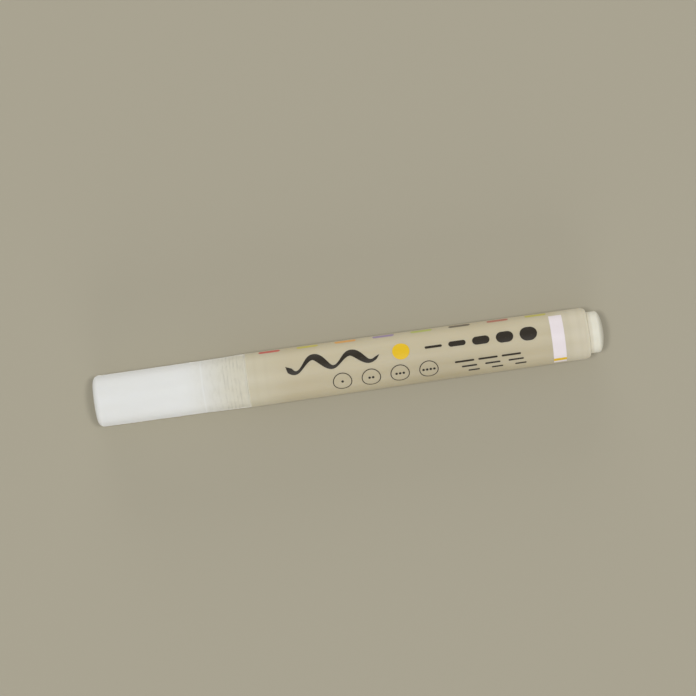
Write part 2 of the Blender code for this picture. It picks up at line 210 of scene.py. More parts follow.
print(f"turned in {AROUND} steps round the axis, with small edges rounded by {EDGE_ROUND / MM} mm")

# %% [markdown]
# Pieces on the frame. Each real piece belongs to something that moves by itself: the barrel, the cap,
# the nib or the ball. One helper makes every piece, so that none of these is forgotten.

# %% Pieces on the frame
SHARP_EDGE = math.radians(32)


def piece(name, points, faces, finish, body, slot, stands_for=()):
    """One object at the origin, shaded smooth, that rides on a body and stands for solids of the frame."""
    mesh = bpy.data.meshes.new(name)
    mesh.from_pydata(points.tolist(), [], [corner for face in faces for corner in face.tolist()])
    mesh.shade_smooth()
    mesh.set_sharp_from_angle(angle=SHARP_EDGE)
    mesh.materials.append(finish)
    made = bpy.data.objects.new(name, mesh)
    bpy.context.scene.collection.objects.link(made)
    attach(made, body)
    if stands_for:
        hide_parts(*stands_for)
    print(f"{name}: {len(mesh.vertices)} points, {len(mesh.polygons)} faces")
    return made


print(f"edges of more than {math.degrees(SHARP_EDGE):.0f} degrees stay sharp")

# %% [markdown]
# Sockets as numbers.
# A finish is a small calculation at every point of a surface. Its nodes could be wired by hand, but that
# takes many lines and hides the formula. So a socket is wrapped in a class whose operators add Math nodes,
# and the formula is written as it is read.

# %% Sockets as numbers


class Value:
    """A shader socket that takes part in Python arithmetic: each operator adds one Math node."""

    def __init__(self, finish, socket):
        self.finish = finish
        self.socket = socket

    def math(self, operation, *values):
        return self.finish.node("ShaderNodeMath", {"operation": operation}, dict(enumerate(values)))

    def __add__(self, other):
        return self.math("ADD", self, other)

    def __sub__(self, other):
        return self.math("SUBTRACT", self, other)

    def __rsub__(self, other):
        return self.math("SUBTRACT", other, self)

    def __mul__(self, other):
        return self.math("MULTIPLY", self, other)

    def __abs__(self):
        return self.math("ABSOLUTE", self)

    __radd__ = __add__
    __rmul__ = __mul__


print("sockets can be added, subtracted and multiplied, and know their absolute value")

# %% [markdown]
# A material and its nodes.
# A finish is one material of the marker. Its nodes could be set one by one, but one method makes any node
# and fills its sockets, so that a whole finish fits on one screen. Colours go through Mix nodes, because a
# Math node would turn them grey.

# %% A material and its nodes


def linear(red, green, blue):
    """A display colour from 0 to 255 as linear light, by the curve of a standard display, with full alpha."""
    share = np.array([red, green, blue]) / 255
    light = np.where(share <= 0.04045, share / 12.92, ((share + 0.055) / 1.055) ** 2.4)
    return (*light.tolist(), 1.0)


class Finish:
    """A material whose shader sockets are filled with numbers, colours or expressions."""

    def __init__(self, name):
        self.material = bpy.data.materials.new(name)
        self.material.use_nodes = True
        self.tree = self.material.node_tree
        self.shader = self.tree.nodes["Principled BSDF"]

    def fill(self, socket, value):
        """Links a Value to the socket, or sets the socket to a plain number or colour."""
        if isinstance(value, Value):
            self.tree.links.new(value.socket, socket)
        else:
            socket.default_value = value

    def node(self, kind, settings=None, sockets=None, output=0):
        """A node of this type: its settings first, then its sockets by number, name or identifier."""
        made = self.tree.nodes.new(kind)
        for key, value in (settings or {}).items():
            setattr(made, key, value)
        named = {socket.identifier: socket for socket in made.inputs}
        for key, value in (sockets or {}).items():
            self.fill(named[key] if key in named else made.inputs[key], value)
        results = {socket.identifier: socket for socket in made.outputs}
        return Value(self, results[output] if output in results else made.outputs[output])

    def mix(self, share, first, second):
        """The first colour at share 0, the second at share 1."""
        return self.node(
            "ShaderNodeMix",
            {"data_type": "RGBA"},
            {"Factor_Float": share, "A_Color": first, "B_Color": second},
            "Result_Color",
        )

    def bump(self, height, depth):
        """A normal tilted by a height from 0 to 1 that stands for depth metres."""
        return self.node("ShaderNodeBump", None, {"Height": height, "Distance": depth}, "Normal")

    def paint(self, **sockets):
        """Fills the shader's sockets, named with underscores for spaces, and returns the material."""
        for key, value in sockets.items():
            self.fill(self.shader.inputs[key.replace("_", " ")], value)
        return self.material


print(f"a display grey of 128 reflects {linear(128, 128, 128)[0]:.3f} of the light")

# %% [markdown]
# Patterns on the surface.
# The marker's finishes need eased steps along an axis, rings and soft noise. Images could hold such
# patterns, but they would have to be unwrapped onto each piece. A recipe is a finish that works them out
# from Object coordinates instead, so they stay put on a piece when it moves and keep sharp from close by.

# %% Patterns on the surface


class Recipe(Finish):
    """A finish with patterns that are worked out from the place of each surface point."""

    def __init__(self, name):
        super().__init__(name)
        self.place = self.node("ShaderNodeTexCoord", output="Object")

    def along(self, axis):
        """One coordinate of the surface point in metres."""
        return self.node("ShaderNodeSeparateXYZ", None, {0: self.place}, axis)

    def step(self, value, low, high):
        """0 below low, 1 above high, and an eased rise between them."""
        return self.node(
            "ShaderNodeMapRange",
            {"interpolation_type": "SMOOTHSTEP"},
            {"Value": value, "From Min": low, "From Max": high},
        )

    def rings(self, first, pitch, count, half):
        """1 on evenly spaced lines round the axis, eased to 0 at half a line's width on either side.

        The distance to the nearest multiple of the pitch comes from a Ping-Pong node, and a window keeps only
        the count that is wanted.
        """
        x = self.along("X")
        nearest = self.node("ShaderNodeMath", {"operation": "PINGPONG"}, {0: x - first, 1: pitch / 2})
        reach = pitch * (count - 1) / 2
        window = 1 - self.step(abs(x - (first + reach)), reach + half, reach + 1.2 * half)
        return window * (1 - self.step(nearest, 0, half))

    def noise(self, size, stretch=(1, 1, 1), detail=3.0):
        """Soft noise from 0 to 1 whose blots are about size metres wide, drawn out by stretch."""
        scaled = self.node(
            "ShaderNodeMapping", {"vector_type": "TEXTURE"}, {"Vector": self.place, "Scale": stretch}
        )
        return self.node(
            "ShaderNodeTexNoise", None, {"Vector": scaled, "Scale": 1 / size, "Detail": detail}, "Fac"
        )


print("patterns: eased steps, rings and soft noise")

# %% [markdown]
# The cap's frosted plastic.
# The cap is natural polypropylene with a finely etched mould surface. Light enters the wall, scatters and
# comes out again close by, so subsurface scattering with a touch of rough transmission suits it better than
# glass. The beige collar sits close behind the mouth and tints the single wall there, and the collar's ribs
# have rubbed faint rings into it. All of this is painted along X, so that it holds in any renderer.

# %% Frosted cap plastic
POLYPROPYLENE_INDEX = 1.49
SEAM = 0.02 * MM
TINT_LENGTH = 19.5 * MM
LIT_EDGE = 0.4 * MM
RIM_LINE = 0.8 * MM
RIB_START = 2.2 * MM
RIB_PITCH = 1 * MM
RIB_WIDTH = 0.6 * MM
RIB_COUNT = 5

mouth_x = front_x - SEAM
inner_end_x, inner_rim_x = ends("inner_cap")
first_rib_x = front_x - RIB_START - RIB_PITCH * (RIB_COUNT - 1)


def frosted_cap_plastic():
    """Milky white, tinted towards the mouth and rubbed there, with an etched grain and lengthwise draw marks.

    The inner cap's rim shows as a light line. The thin lip of the mouth is painted lighter: painted light
    against the shade of the seam.
    """
    recipe = Recipe("frosted_cap_plastic")
    cloud = recipe.noise(9 * MM, (2.5, 1, 1))
    grain = recipe.noise(0.16 * MM, detail=1.0)
    draw = recipe.noise(0.5 * MM, (40, 1, 1))
    x = recipe.along("X")
    tint = recipe.step(x, mouth_x - TINT_LENGTH, mouth_x)
    worn = recipe.step(recipe.noise(3.5 * MM), 0.38, 0.62)
    smear = tint * recipe.step(recipe.noise(2.6 * MM, (0.3, 1, 1)), 0.45, 0.75)
    rubbed = recipe.rings(first_rib_x, RIB_PITCH, RIB_COUNT, RIB_WIDTH / 2)
    inner_rim = recipe.rings(inner_rim_x, RIM_LINE, 1, RIM_LINE / 2)
    rings = rubbed * (0.12 + 0.88 * worn)
    # painted light: the mouth's thin lip is lighter, against the shade of the seam
    lip = recipe.step(x, mouth_x - LIT_EDGE, mouth_x)
    milky = recipe.mix(cloud, linear(233, 234, 229), linear(241, 241, 237))
    tinted = recipe.mix(tint, milky, linear(218, 213, 194))
    lined = recipe.mix(0.35 * inner_rim, tinted, linear(246, 247, 244))
    ringed = recipe.mix(0.4 * rings + 0.3 * smear, lined, linear(183, 179, 162))
    return recipe.paint(
        Base_Color=recipe.mix(0.6 * lip, ringed, linear(245, 239, 217)),
        Roughness=0.52 + 0.12 * cloud - 0.1 * rings,
        Normal=recipe.bump(0.7 * grain + 0.3 * draw, 0.012 * MM),
        IOR=POLYPROPYLENE_INDEX,
        Transmission_Weight=0.1,
        Subsurface_Weight=0.8,
        Subsurface_Radius=(1.0, 0.98, 0.92),
        Subsurface_Scale=1.5 * MM,
        Sheen_Weight=0.6,
        Sheen_Roughness=0.25,
    )


print("frosted cap plastic: tinted over", TINT_LENGTH / MM, "mm, with", RIB_COUNT, "rubbed rings")

# %% [markdown]
# The cap.
# Its outline runs from the flat closed end over a rounded corner, along a wall with a little draft, and out
# to a flared mouth that slips over the collar's ribs. Inside, a step holds the inner cap. A small dimple in
# the end is the gate where the plastic entered the mould. A cylinder with modifiers could be bevelled and
# given a wall, but one outline has the draft, the flare and the step inside as well.

# %% Cap shell
CAP_CORNER = 1.7 * MM
CAP_FLOOR = 1.2 * MM
CAP_FLARE_LENGTH = 13 * MM
FLARE_POWER = 1.3
MOUTH_ROUND = 0.06 * MM
FLOOR_ROUND = 0.6 * MM
GATE_RADIUS = 0.9 * MM
GATE_DEPTH = 0.2 * MM
PRESS_GAP = 0.3 * MM
PROBE = 1 * MM

cap_end_x, cap_rim_x = ends("cap_shell")
cap_floor_x = cap_end_x + CAP_FLOOR
cap_radius = rim("cap_shell", cap_end_x, cap_end_x + 2 * CAP_CORNER)
flare_x = mouth_x - CAP_FLARE_LENGTH
flare_radius = rim("cap_shell", flare_x - PROBE, flare_x + PROBE)
mouth_radius = rim("cap_shell", cap_rim_x - PROBE, cap_rim_x)
mouth_bore = hole("cap_shell", cap_rim_x - PROBE, cap_rim_x)
inner_radius = rim("inner_cap", inner_end_x, inner_rim_x)
cap_bore = inner_radius + PRESS_GAP


def gate_mark(face_x, into, count=9):
    """A shallow dished mark on the axis: out from its floor along an eased slope to the face."""
    share = np.linspace(0, 1, count)
    depth = GATE_DEPTH * (0.5 + 0.5 * np.cos(np.pi * share))
    return np.column_stack([face_x + into * depth, GATE_RADIUS * share])


def eased_flare(count=16):
    """From the drafted wall to the flared mouth: the radius rises with a power of the way along."""
    share = np.linspace(0, 1, count)
    x = flare_x + (mouth_x - MOUTH_ROUND - flare_x) * share
    return np.column_stack([x, flare_radius + (mouth_radius - flare_radius) * share**FLARE_POWER])


cap_path = outline(
    gate_mark(cap_end_x, into=1),
    rounded(cap_end_x, cap_radius, 180, 90, CAP_CORNER, 13),
    eased_flare(),
    rounded(mouth_x, mouth_radius, 80, 0, MOUTH_ROUND, 6),
    rounded(mouth_x, mouth_bore, 0, -90, MOUTH_ROUND, 6),
    (inner_rim_x, mouth_bore),
    (inner_rim_x - FLOOR_ROUND, cap_bore),
    rounded(cap_floor_x, cap_bore, 90, 180, FLOOR_ROUND, 8),
    (cap_floor_x, 0),
)
piece("cap_wall", *turned(cap_path), frosted_cap_plastic(), "cap", "cap_plastic", ["cap_shell"])

# %% [markdown]
# Milky plastic.
# The inner cap, the plug, the section and the valve are moulded in natural plastic of slightly different
# tones. Each could have a material built by hand, but they differ only in colour, so one function makes
# them all. A tint at one end is allowed for, because the plug is darker and yellower at its foot, next to
# the barrel.

# %% Milky plastic


def milky_plastic(name, light, dark, foot=None):
    """Natural plastic: two close tones in soft clouds, a satin skin and light that spreads under it.

    A foot gives two places along X and a tone, which holds up to the first and has faded at the second.
    """
    recipe = Recipe(name)
    cloud = recipe.noise(5 * MM, (2, 1, 1))
    grain = recipe.noise(0.2 * MM, detail=1.0)
    colour = recipe.mix(cloud, linear(*dark), linear(*light))
    if foot:
        first, last, tone = foot
        colour = recipe.mix(recipe.step(recipe.along("X"), first, last), linear(*tone), colour)
    return recipe.paint(
        Base_Color=colour,
        Roughness=0.48 + 0.1 * cloud,
        Normal=recipe.bump(grain, 0.008 * MM),
        IOR=POLYPROPYLENE_INDEX,
        Subsurface_Weight=0.35,
        Subsurface_Radius=(1.0, 0.9, 0.7),
        Subsurface_Scale=1.2 * MM,
    )


inner_plastic = milky_plastic("inner_cap_plastic", (240, 241, 240), (232, 233, 232))
print("made a milky plastic for the inner cap")

# %% [markdown]
# The inner cap.
# A thin cup inside the cap, whose lip closes on the section's land. It doubles the wall, which is why the
# cap looks white there and greyer towards its mouth. A smaller copy of the cap would be a quick way to make
# it, but the lip has its own form, so it gets an outline of its own.

# %% Inner cap
INNER_CORNER = 1.2 * MM
INNER_FLOOR = 0.8 * MM
LIP_LENGTH = 2.5 * MM

lip_radius = hole("inner_cap", inner_rim_x - LIP_LENGTH, inner_rim_x)
inner_bore = hole("inner_cap", inner_rim_x, inner_rim_x)
inner_floor_x = inner_end_x + INNER_FLOOR
lip_slope = inner_bore - lip_radius

inner_path = outline(
    (inner_end_x, 0),
    rounded(inner_end_x, inner_radius, 180, 90, INNER_CORNER, 13),
    (inner_rim_x, inner_radius),
    (inner_rim_x, inner_bore),
    (inner_rim_x - lip_slope, lip_radius),
    (inner_rim_x - LIP_LENGTH, lip_radius),
    (inner_rim_x - LIP_LENGTH - lip_slope, inner_bore),
    rounded(inner_floor_x, inner_bore, 90, 180, INNER_CORNER, 13),
    (inner_floor_x, 0),
)
piece("inner_cup", *turned(inner_path), inner_plastic, "cap", "inner_cap_plastic", ["inner_cap"])

# %% [markdown]
# The barrel's plastic and the paint behind it.
# The tube is clear enough that the paint inside gives it its colour: cream over the reservoir, and paler at
# both ends, where the white section and plug sit inside and hold the paint away. A clear wall round a
# coloured core would be the other way, but it is slow and grainy to render and the paint has no solid. So
# the tone, the settling streaks and the pale ends are painted along X in the finish, with painted light at
# the front edge and the tail shoulder, and a painted shade on the side towards -Y.

# %% Paint-filled barrel plastic
SHOULDER_LENGTH = 1.9 * MM
SEAL_START = 2.5 * MM
SEAL_PITCH = 3 * MM
SEAL_WIDTH = 1 * MM
SEAL_COUNT = 2
SKIRT_FADE = 10 * MM
SKIRT_BLUR = 3 * MM
PLUG_FADE = 4 * MM
SHADE_HUMP_HALF = 25 * MM

section_front_x, section_rear_x = ends("front_section")
plug_rim_x, plug_end_x = ends("tail_plug")


def paint_filled_barrel():
    """Cream paint behind a satin wall: streaked lengthwise, paler over the inner skirts, with painted shade.

    A painted shade darkens the side towards -Y, most round the middle of the barrel. The front edge and the
    bare end of the tail shoulder are palest: no paint lies behind them, and painted light lifts their shade.
    """
    recipe = Recipe("paint_filled_barrel")
    x = recipe.along("X")
    streak = recipe.noise(2.4 * MM, (14, 1, 1), 1.5)
    cloud = recipe.noise(12 * MM, (2.5, 1, 1))
    scuff = recipe.noise(0.35 * MM, (30, 1, 1))
    skirt = 1 - recipe.step(x, section_rear_x - SKIRT_FADE, section_rear_x + SKIRT_BLUR)
    plug = recipe.step(x, plug_rim_x - PLUG_FADE, tail_x - SHOULDER_LENGTH)
    # painted shade: the barrel is darker towards -Y, strongest round the middle of its length
    shade_side = 1 - recipe.step(recipe.along("Y"), -barrel_radius, 0.6 * barrel_radius)
    shade_hump = recipe.step(x, 0, SHADE_HUMP_HALF) * (1 - recipe.step(x, SHADE_HUMP_HALF, 2 * SHADE_HUMP_HALF))
    front_beads = recipe.rings(front_x + SEAL_START, SEAL_PITCH, SEAL_COUNT, SEAL_WIDTH)
    tail_beads = recipe.rings(tail_x - SEAL_START - SEAL_PITCH, SEAL_PITCH, SEAL_COUNT, SEAL_WIDTH)
    # painted light: the front edge and the end of the tail shoulder are lighter, against the shade there; no
    # paint lies behind them either
    lit_front_edge = 1 - recipe.step(x, front_x, front_x + LIT_EDGE)
    lit_tail_edge = recipe.step(x, tail_x - SHOULDER_LENGTH / 2, tail_x)
    cream = recipe.mix(cloud, linear(189, 177, 145), linear(199, 189, 161))
    # the painted shade towards -Y goes into the colour here
    with_painted_shade = recipe.mix(shade_side * (0.4 + 0.35 * shade_hump), cream, linear(160, 147, 114))
    streaked = recipe.mix(0.3 * streak, with_painted_shade, linear(206, 198, 176))
    pale_front = recipe.mix(0.6 * skirt, streaked, linear(202, 196, 174))
    pale_ends = recipe.mix(0.7 * plug, pale_front, linear(209, 202, 182))
    beaded = recipe.mix(0.2 * (front_beads + tail_beads), pale_ends, linear(188, 179, 152))
    return recipe.paint(
        Base_Color=recipe.mix(0.6 * (lit_front_edge + lit_tail_edge), beaded, linear(236, 229, 207)),
        Roughness=0.48 + 0.12 * scuff,
        Normal=recipe.bump(scuff, 0.002 * MM),
        IOR=POLYPROPYLENE_INDEX,
        Subsurface_Weight=0.4,
        Subsurface_Radius=(1.0, 0.85, 0.55),
        Subsurface_Scale=2.0 * MM,
    )


print(f"paint shows from {section_rear_x / MM:.1f} to {plug_rim_x / MM:.1f} mm, between the inner skirts")

# %% [markdown]
# The barrel.
# A drafted tube with a crisp front edge and a full shoulder at its tail. It is one closed outline, outside
# and bore together, so that the wall is as thick as the real one. The Solidify modifier could give a wall
# too, but then the lead-in bevels of the bore would have to be cut afterwards.

# %% Barrel tube
BARREL_AROUND = 192
FRONT_ROUND = 0.1 * MM
BORE_LEAD = 0.2 * MM

bore_radius = hole("barrel_tube", front_x, tail_x)
face_radius = rim("barrel_tube", tail_x, tail_x)
tail_radius = rim("barrel_tube", tail_x - SHOULDER_LENGTH, tail_x)

barrel_path = outline(
    (front_x + BORE_LEAD, bore_radius),
    (front_x, bore_radius + BORE_LEAD),
    rounded(front_x, barrel_radius, 180, 90, FRONT_ROUND, 13),
    arc((tail_x - SHOULDER_LENGTH, face_radius), (SHOULDER_LENGTH, tail_radius - face_radius), 90, 0, 21),
    (tail_x, bore_radius + BORE_LEAD),
    (tail_x - BORE_LEAD, bore_radius),
)
barrel_form = turned(barrel_path, BARREL_AROUND)
piece("barrel_wall", *barrel_form, paint_filled_barrel(), "barrel", "barrel_plastic", ["barrel_tube"])

# %% [markdown]
# The tail plug.
# A moulded plug closes the barrel: a low dome outside, a hollow skirt with two sealing beads inside. It is
# the same natural plastic as the cap, without the paint behind it. Only its foot, next to the barrel, is
# darker and yellower. A ball cut in half would give too high a dome, so the dome is a quarter of an ellipse.

# %% Tail plug
PLUG_DOME = 1.8 * MM
PLUG_FLOOR = 1.8 * MM
SKIRT_LEAD = 0.6 * MM
SKIRT_WALL = 1 * MM
FOOT_TINT = 1.3 * MM
GATE_SINK = 0.02 * MM
GATE_MARGIN = 1.1

head_radius = rim("tail_plug", tail_x, plug_end_x)
plug_seat_x = tail_x + SEAM
plug_skirt = rim("tail_plug", plug_rim_x + SKIRT_LEAD, plug_rim_x + SKIRT_LEAD)
bead_height = rim("tail_plug", plug_rim_x, tail_x - BORE_LEAD) - plug_skirt
hollow_end_x = plug_end_x - PLUG_FLOOR
hollow = plug_skirt - SKIRT_WALL


def beads(first, pitch, count, width, base, height, per_bead=9):
    """A row of rounded rings, each a raised cosine wide by high, running towards the cap."""
    share = np.linspace(-0.5, 0.5, per_bead)
    middle = first - pitch * np.arange(count)
    x = middle[:, None] - width * share
    radius = base + height * (0.5 + 0.5 * np.cos(2 * np.pi * share))
    return np.column_stack([x.ravel(), np.tile(radius, count)])


def domed_end(foot_x, length, radius, count=25):
    """A quarter ellipse from the gate mark on its crown out to its foot."""
    start = math.degrees(math.asin(GATE_MARGIN * GATE_RADIUS / radius))
    return arc((foot_x, 0), (length, radius), start, 90, count)


plug_path = outline(
    gate_mark(plug_end_x - GATE_SINK, into=-1),
    domed_end(plug_end_x - PLUG_DOME, PLUG_DOME, head_radius),
    rounded(plug_seat_x, head_radius, 90, 180),
    (plug_seat_x, plug_skirt),
    beads(tail_x - SEAL_START, SEAL_PITCH, SEAL_COUNT, SEAL_WIDTH, plug_skirt, bead_height),
    (plug_rim_x + SKIRT_LEAD, plug_skirt),
    (plug_rim_x, plug_skirt - SKIRT_WALL / 2),
    (plug_rim_x, hollow),
    rounded(hollow_end_x, hollow, 90, 0, SKIRT_WALL, 8),
    (hollow_end_x, 0),
)
plug_foot = (tail_x + FOOT_TINT / 2, tail_x + FOOT_TINT, (213, 207, 188))
plug_plastic = milky_plastic("plug_plastic", (226, 223, 208), (217, 214, 198), plug_foot)
piece("plug_wall", *turned(plug_path), plug_plastic, "barrel", "plug_plastic", ["tail_plug"])

# %% [markdown]
# The print on the barrel.
# The printed side has plain signs only: a brush stroke, strokes of growing width, a row of rings with pips,
# short rows, a white band and a line of colour dabs. Ink on a real barrel is a film that stands a few
# hundredths of a millimetre proud. An image could be mapped on instead, but a film made as geometry stays
# crisp from close by and bends with the tube. So each sign is laid out flat as (place along the barrel, way
# round it) and then wrapped.

# %% Wrapping flat signs round the barrel
INK_TOP = 0.03 * MM
INK_FOOT = -0.02 * MM


def barrel_surface(x):
    """The barrel's radius at x: an even taper from the front round to the tail shoulder."""
    way = (x - front_x - FRONT_ROUND) / (tail_x - SHOULDER_LENGTH - front_x - FRONT_ROUND)
    return barrel_radius + (tail_radius - barrel_radius) * way


def wrapped(station, round_way, lift):
    """Flat points carried onto the barrel: the way round, over the radius, is the angle from the top line."""
    x = front_x + station
    return about_axis(x, barrel_surface(x) + lift, -round_way / barrel_radius)


def film(station, round_way, closed=False, raise_by=0.0):
    """A closed film over a grid of flat points: its top, its foot and the edges between, row by row.

    Each row runs over the top and back along the foot. The first and the last row are capped, unless the
    rows close on themselves, as round a ring.
    """
    rows, columns = station.shape
    top = wrapped(station, round_way, INK_TOP + raise_by)
    foot = wrapped(station, round_way, INK_FOOT)
    points = np.concatenate([top, foot[:, ::-1]], 1).reshape(-1, 3)
    faces = [quads(rows, 2 * columns, closed, True)]
    if not closed:
        step = np.arange(columns - 1)
        back = 2 * columns - 1 - step
        end_face = np.column_stack([step, step + 1, back - 1, back])
        faces += [end_face, end_face[:, ::-1] + (rows - 1) * 2 * columns]
    return points, outward(points, faces)


def printed(name, films, finish):
    """Several films joined into one printed piece on the barrel."""
    starts = np.cumsum([0] + [len(points) for points, _ in films])
    points = np.vstack([points for points, _ in films])
    faces = [face + start for (_, group), start in zip(films, starts) for face in group]
    return piece(name, points, faces, finish, "barrel", "barrel_plastic")


print(f"ink stands {INK_TOP / MM} mm proud of the barrel, and its foot is {-INK_FOOT / MM} mm deep in it")

# %% [markdown]
# Flat signs.
# A bar with round ends, a disc, a ring and a brush stroke are each a grid of two parameters, one along the
# sign and one across it. Blender's curves could draw them, but then each would have to be filled, cut up
# finely and bent. As grids, all of them go through the same wrapping.

# %% Bars, discs, rings and the stroke


def bar(station, round_way, length, width, rows=41, columns=9, blunt=0.05):
    """A round-ended bar: its half width is a circle's at both ends, and even between them.

    At its very ends a blunt share of the width is left, so that no face shrinks to nothing.
    """
    along = np.linspace(-0.5, 0.5, rows) * length
    over = np.clip(np.abs(along) - (length - width) / 2, 0, None)
    half = np.sqrt(np.clip((width / 2) ** 2 - over**2, (blunt * width) ** 2, None))
    across = np.linspace(-1, 1, columns)
    return film(station + along[:, None] + 0 * across, round_way + half[:, None] * across)


def disc(station, round_way, radius, cells=17):
    """A square grid pressed into a disc: each side shortens as the other nears its end."""
    a, b = np.meshgrid(np.linspace(-1, 1, cells), np.linspace(-1, 1, cells), indexing="ij")
    return film(
        station + radius * a * np.sqrt(1 - b**2 / 2),
        round_way + radius * b * np.sqrt(1 - a**2 / 2),
    )


def ring(station, round_way, radius, line, around=64):
    """A line of even width bent into a circle."""
    turn = np.linspace(0, 2 * np.pi, around, endpoint=False)[:, None]
    reach = radius + line * np.linspace(-0.5, 0.5, 3)
    return film(station + reach * np.cos(turn), round_way + reach * np.sin(turn), closed=True)


def brush_stroke(station, round_way, length, sway, thickness, waves=2.5, rows=200, columns=9):
    """A wave along the barrel, offset to both sides by a half width that swells and thins as a brush does."""
    way = np.linspace(0, 1, rows)
    phase = 2 * np.pi * waves * way
    middle = np.stack([length * way, sway * np.sin(phase) * (1 - 0.3 * way)])
    slope = np.gradient(middle, axis=1)
    normal = np.stack([-slope[1], slope[0]]) / np.hypot(*slope)
    swell = 0.34 + 0.16 * np.cos(phase + 0.7)
    taper = np.clip(8 * np.sin(np.pi * way), 0.12, 1)
    spread = (thickness * swell * taper)[:, None] * np.linspace(-1, 1, columns)
    return film(
        station + middle[0][:, None] + normal[0][:, None] * spread,
        round_way + middle[1][:, None] + normal[1][:, None] * spread,
    )


print("a bar's film has", len(bar(0, 0, 5 * MM, 1 * MM)[0]), "points")

# %% [markdown]
# Printing ink.
# Ink on a barrel is a thin, dull, dry film that wears through in small spots where it is handled. One even
# colour would do from far off, but from close by the spots are what makes it look printed, so a noise thins
# the tone there.

# %% Printing ink


def ink(name, colour, worn, roughness=0.5):
    """Printing ink: one tone with a thinner, paler one in small worn spots, and the satin of a dry film."""
    recipe = Recipe(name)
    thin = recipe.step(recipe.noise(0.4 * MM, (2, 1, 1), 4.0), 0.6, 0.75)
    return recipe.paint(
        Base_Color=recipe.mix(0.5 * thin, linear(*colour), linear(*worn)),
        Roughness=roughness + 0.15 * thin,
        Normal=recipe.bump(recipe.noise(0.15 * MM, detail=1.0), 0.004 * MM),
        Specular_IOR_Level=0.3,
    )


dark_ink = ink("dark_ink", (40, 33, 21), (84, 74, 54))
yellow_ink = ink("yellow_ink", (226, 186, 24), (222, 192, 80))
white_ink = ink("white_ink", (229, 220, 222), (222, 213, 212), 0.45)
print("made a dark, a yellow and a white ink")

# %% [markdown]
# Signs of the upper line.
# Along the middle of the printed side stand a brush stroke, a yellow disc and five strokes of growing
# width. They could be set by eye, one by one, but a first station and an even pitch keep them in step, as
# on a printer's layout.

# %% Signs of the upper line
SIGN_LINE = -2.3 * MM
STROKE_STATION = 11 * MM
DISC_STATION = 43 * MM
GROWING_STATION = 52 * MM
GROWING_PITCH = 6.6 * MM
GROWING_LENGTH = 4.8 * MM
GROWING_COUNT = 5
FIRST_WIDTH = 0.7 * MM
ADDED_WIDTH = 0.85 * MM

stroke = brush_stroke(STROKE_STATION, SIGN_LINE, length=26 * MM, sway=2.1 * MM, thickness=2.2 * MM)
yellow_disc = disc(DISC_STATION, SIGN_LINE, radius=2.4 * MM)
growing = [
    bar(GROWING_STATION + GROWING_PITCH * n, SIGN_LINE, GROWING_LENGTH, FIRST_WIDTH + ADDED_WIDTH * n)
    for n in range(GROWING_COUNT)
]
print("upper line: a stroke, a disc and", len(growing), "strokes of growing width")

# %% [markdown]
# Rings with pips, and short rows.
# Below the upper line stand four rings with one to four pips, and three rows of short bars. All signs could
# be separate objects, but one pass of the press prints all that is of one colour, so the dark signs are
# joined into one piece with one ink.

# %% Rings, rows and the printed pieces
RING_LINE = 4.1 * MM
RING_STATION = 26 * MM
RING_PITCH = 8 * MM
RING_COUNT = 4
PIP_PITCH = 1 * MM
ROW_LINE = 3.1 * MM
ROW_SPACING = 1.75 * MM
ROW_STATION = 60 * MM
ROW_SHIFT = 1.2 * MM
ROW_COUNT = 3
BAR_COUNT = 3
BAR_PITCH = 6.5 * MM
BAR_LENGTH = 5.4 * MM
BAR_SHORTER = 1.1 * MM

ring_stations = RING_STATION + RING_PITCH * np.arange(RING_COUNT)
rings = [ring(station, RING_LINE, radius=2.55 * MM, line=0.24 * MM) for station in ring_stations]
pips = [
    disc(station + PIP_PITCH * (pip - number / 2), RING_LINE, radius=0.36 * MM)
    for number, station in enumerate(ring_stations)
    for pip in range(number + 1)
]
short_rows = [
    bar(
        station=ROW_STATION + ROW_SHIFT * row + BAR_PITCH * number,
        round_way=ROW_LINE + ROW_SPACING * row,
        length=BAR_LENGTH - BAR_SHORTER * row,
        width=0.55 * MM,
    )
    for row in range(ROW_COUNT)
    for number in range(BAR_COUNT)
]
printed("dark_print", [stroke, *growing, *pips, *rings, *short_rows], dark_ink)
printed("yellow_print", [yellow_disc], yellow_ink)

# %% [markdown]
# The white band.
# A plain white band crosses the barrel near its tail, with a yellow stripe at its lower end. On the real
# marker the stripe is printed over the band, so its film stands a little higher. The band could be painted
# into the barrel's finish, but as a film its edges stay as crisp as those of the signs.

# %% White band and its stripe
BAND_STATION = 86.4 * MM
BAND_WIDTH = 3.6 * MM
BAND_BACK = -7.4 * MM
BAND_FRONT = 9.4 * MM
STRIPE_BACK = 7.0 * MM
STRIPE_FRONT = 8.2 * MM
STRIPE_LIFT = 0.02 * MM


def band(first, last, raise_by=0.0):
    """A straight strip across the barrel, fine enough across to follow its curve."""
    along, across = np.meshgrid(np.linspace(-0.5, 0.5, 5), np.linspace(first, last, 49), indexing="ij")
    return film(BAND_STATION + BAND_WIDTH * along, across, raise_by=raise_by)


printed("white_band", [band(BAND_BACK, BAND_FRONT)], white_ink)
printed("band_stripe", [band(STRIPE_BACK, STRIPE_FRONT, STRIPE_LIFT)], yellow_ink)

# %% [markdown]
# The colour dabs.
# Round towards the back of the barrel runs a row of dabs in the colours of a paint range. Eight materials
# would do it, but they would differ in one colour only. So the dabs share one finish, which reads each
# dab's colour from an attribute on the points of the mesh.

# %% Colour dabs
DAB_LINE = -9.3 * MM
DAB_STATION = 7 * MM
DAB_PITCH = 10.6 * MM
DAB_COLOURS = [
    (196, 72, 62),
    (196, 186, 74),
    (222, 158, 70),
    (150, 128, 168),
    (176, 184, 84),
    (92, 82, 66),
    (176, 98, 80),
    (190, 182, 72),
]


